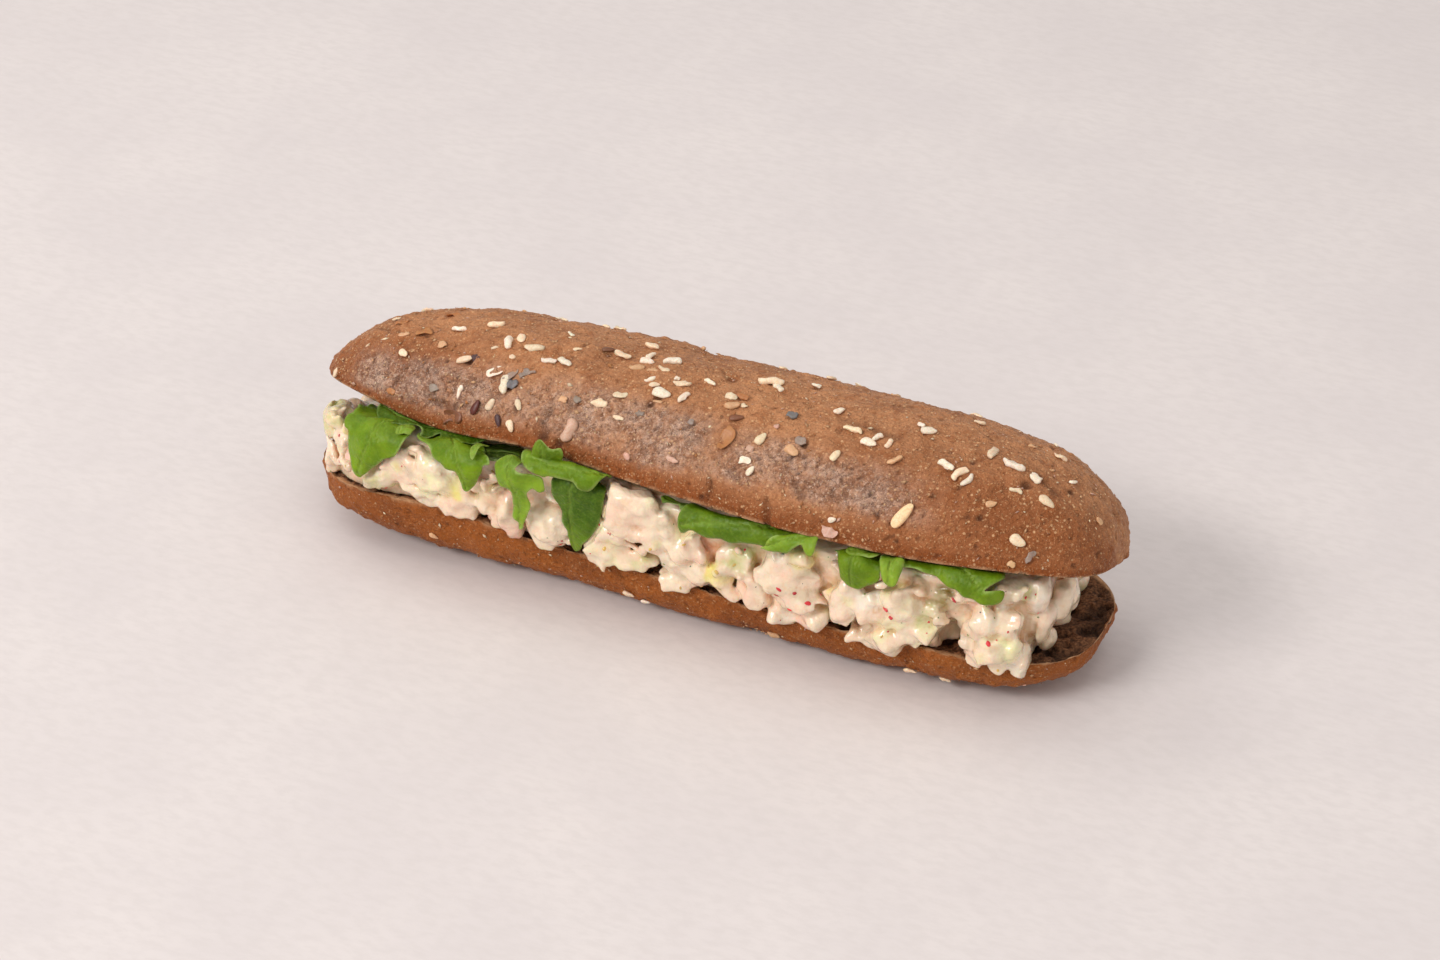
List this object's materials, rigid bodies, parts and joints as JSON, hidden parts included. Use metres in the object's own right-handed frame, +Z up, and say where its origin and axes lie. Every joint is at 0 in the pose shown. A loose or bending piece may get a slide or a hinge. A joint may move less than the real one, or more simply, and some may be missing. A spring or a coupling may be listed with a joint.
{
  "type": "chicken salad sandwich in a long multigrain roll",
  "caption": "Long dark multigrain roll, cut along its length, filled with creamy chicken salad and rocket leaves.",
  "frame": {"origin": "middle of the roll's flat underside, on the surface that the sandwich stands on", "axes": "+X along the roll, towards the right end as seen from the open front; -Y towards the open front, where the filling shows; +Z up"},
  "size_m": [0.2094, 0.0672, 0.06],
  "materials": {
    "bread_bottom": "dark brown baked crust with fine bran flecks, matt to satin; porous brown crumb on the cut face",
    "bread_top": "brown baked crust with a satin mauve sheen, seeds, oat flakes and fine bran flecks",
    "salad": "moist creamy chicken salad with pale chunks, pickle and red specks, glossy",
    "leaf": "fresh green rocket leaf with paler veins and rim, satin"
  },
  "bodies": {
    "root": {"bread_bottom": "bread_bottom", "bread_top": "bread_top", "salad": "salad", "leaf_a": "leaf", "leaf_b": "leaf", "leaf_c": "leaf", "leaf_d": "leaf", "leaf_e": "leaf", "leaf_f": "leaf", "leaf_g": "leaf", "leaf_h": "leaf", "leaf_i": "leaf", "leaf_j": "leaf", "leaf_k": "leaf", "leaf_l": "leaf", "leaf_m": "leaf", "leaf_n": "leaf", "leaf_o": "leaf"}
  },
  "joints": []
}
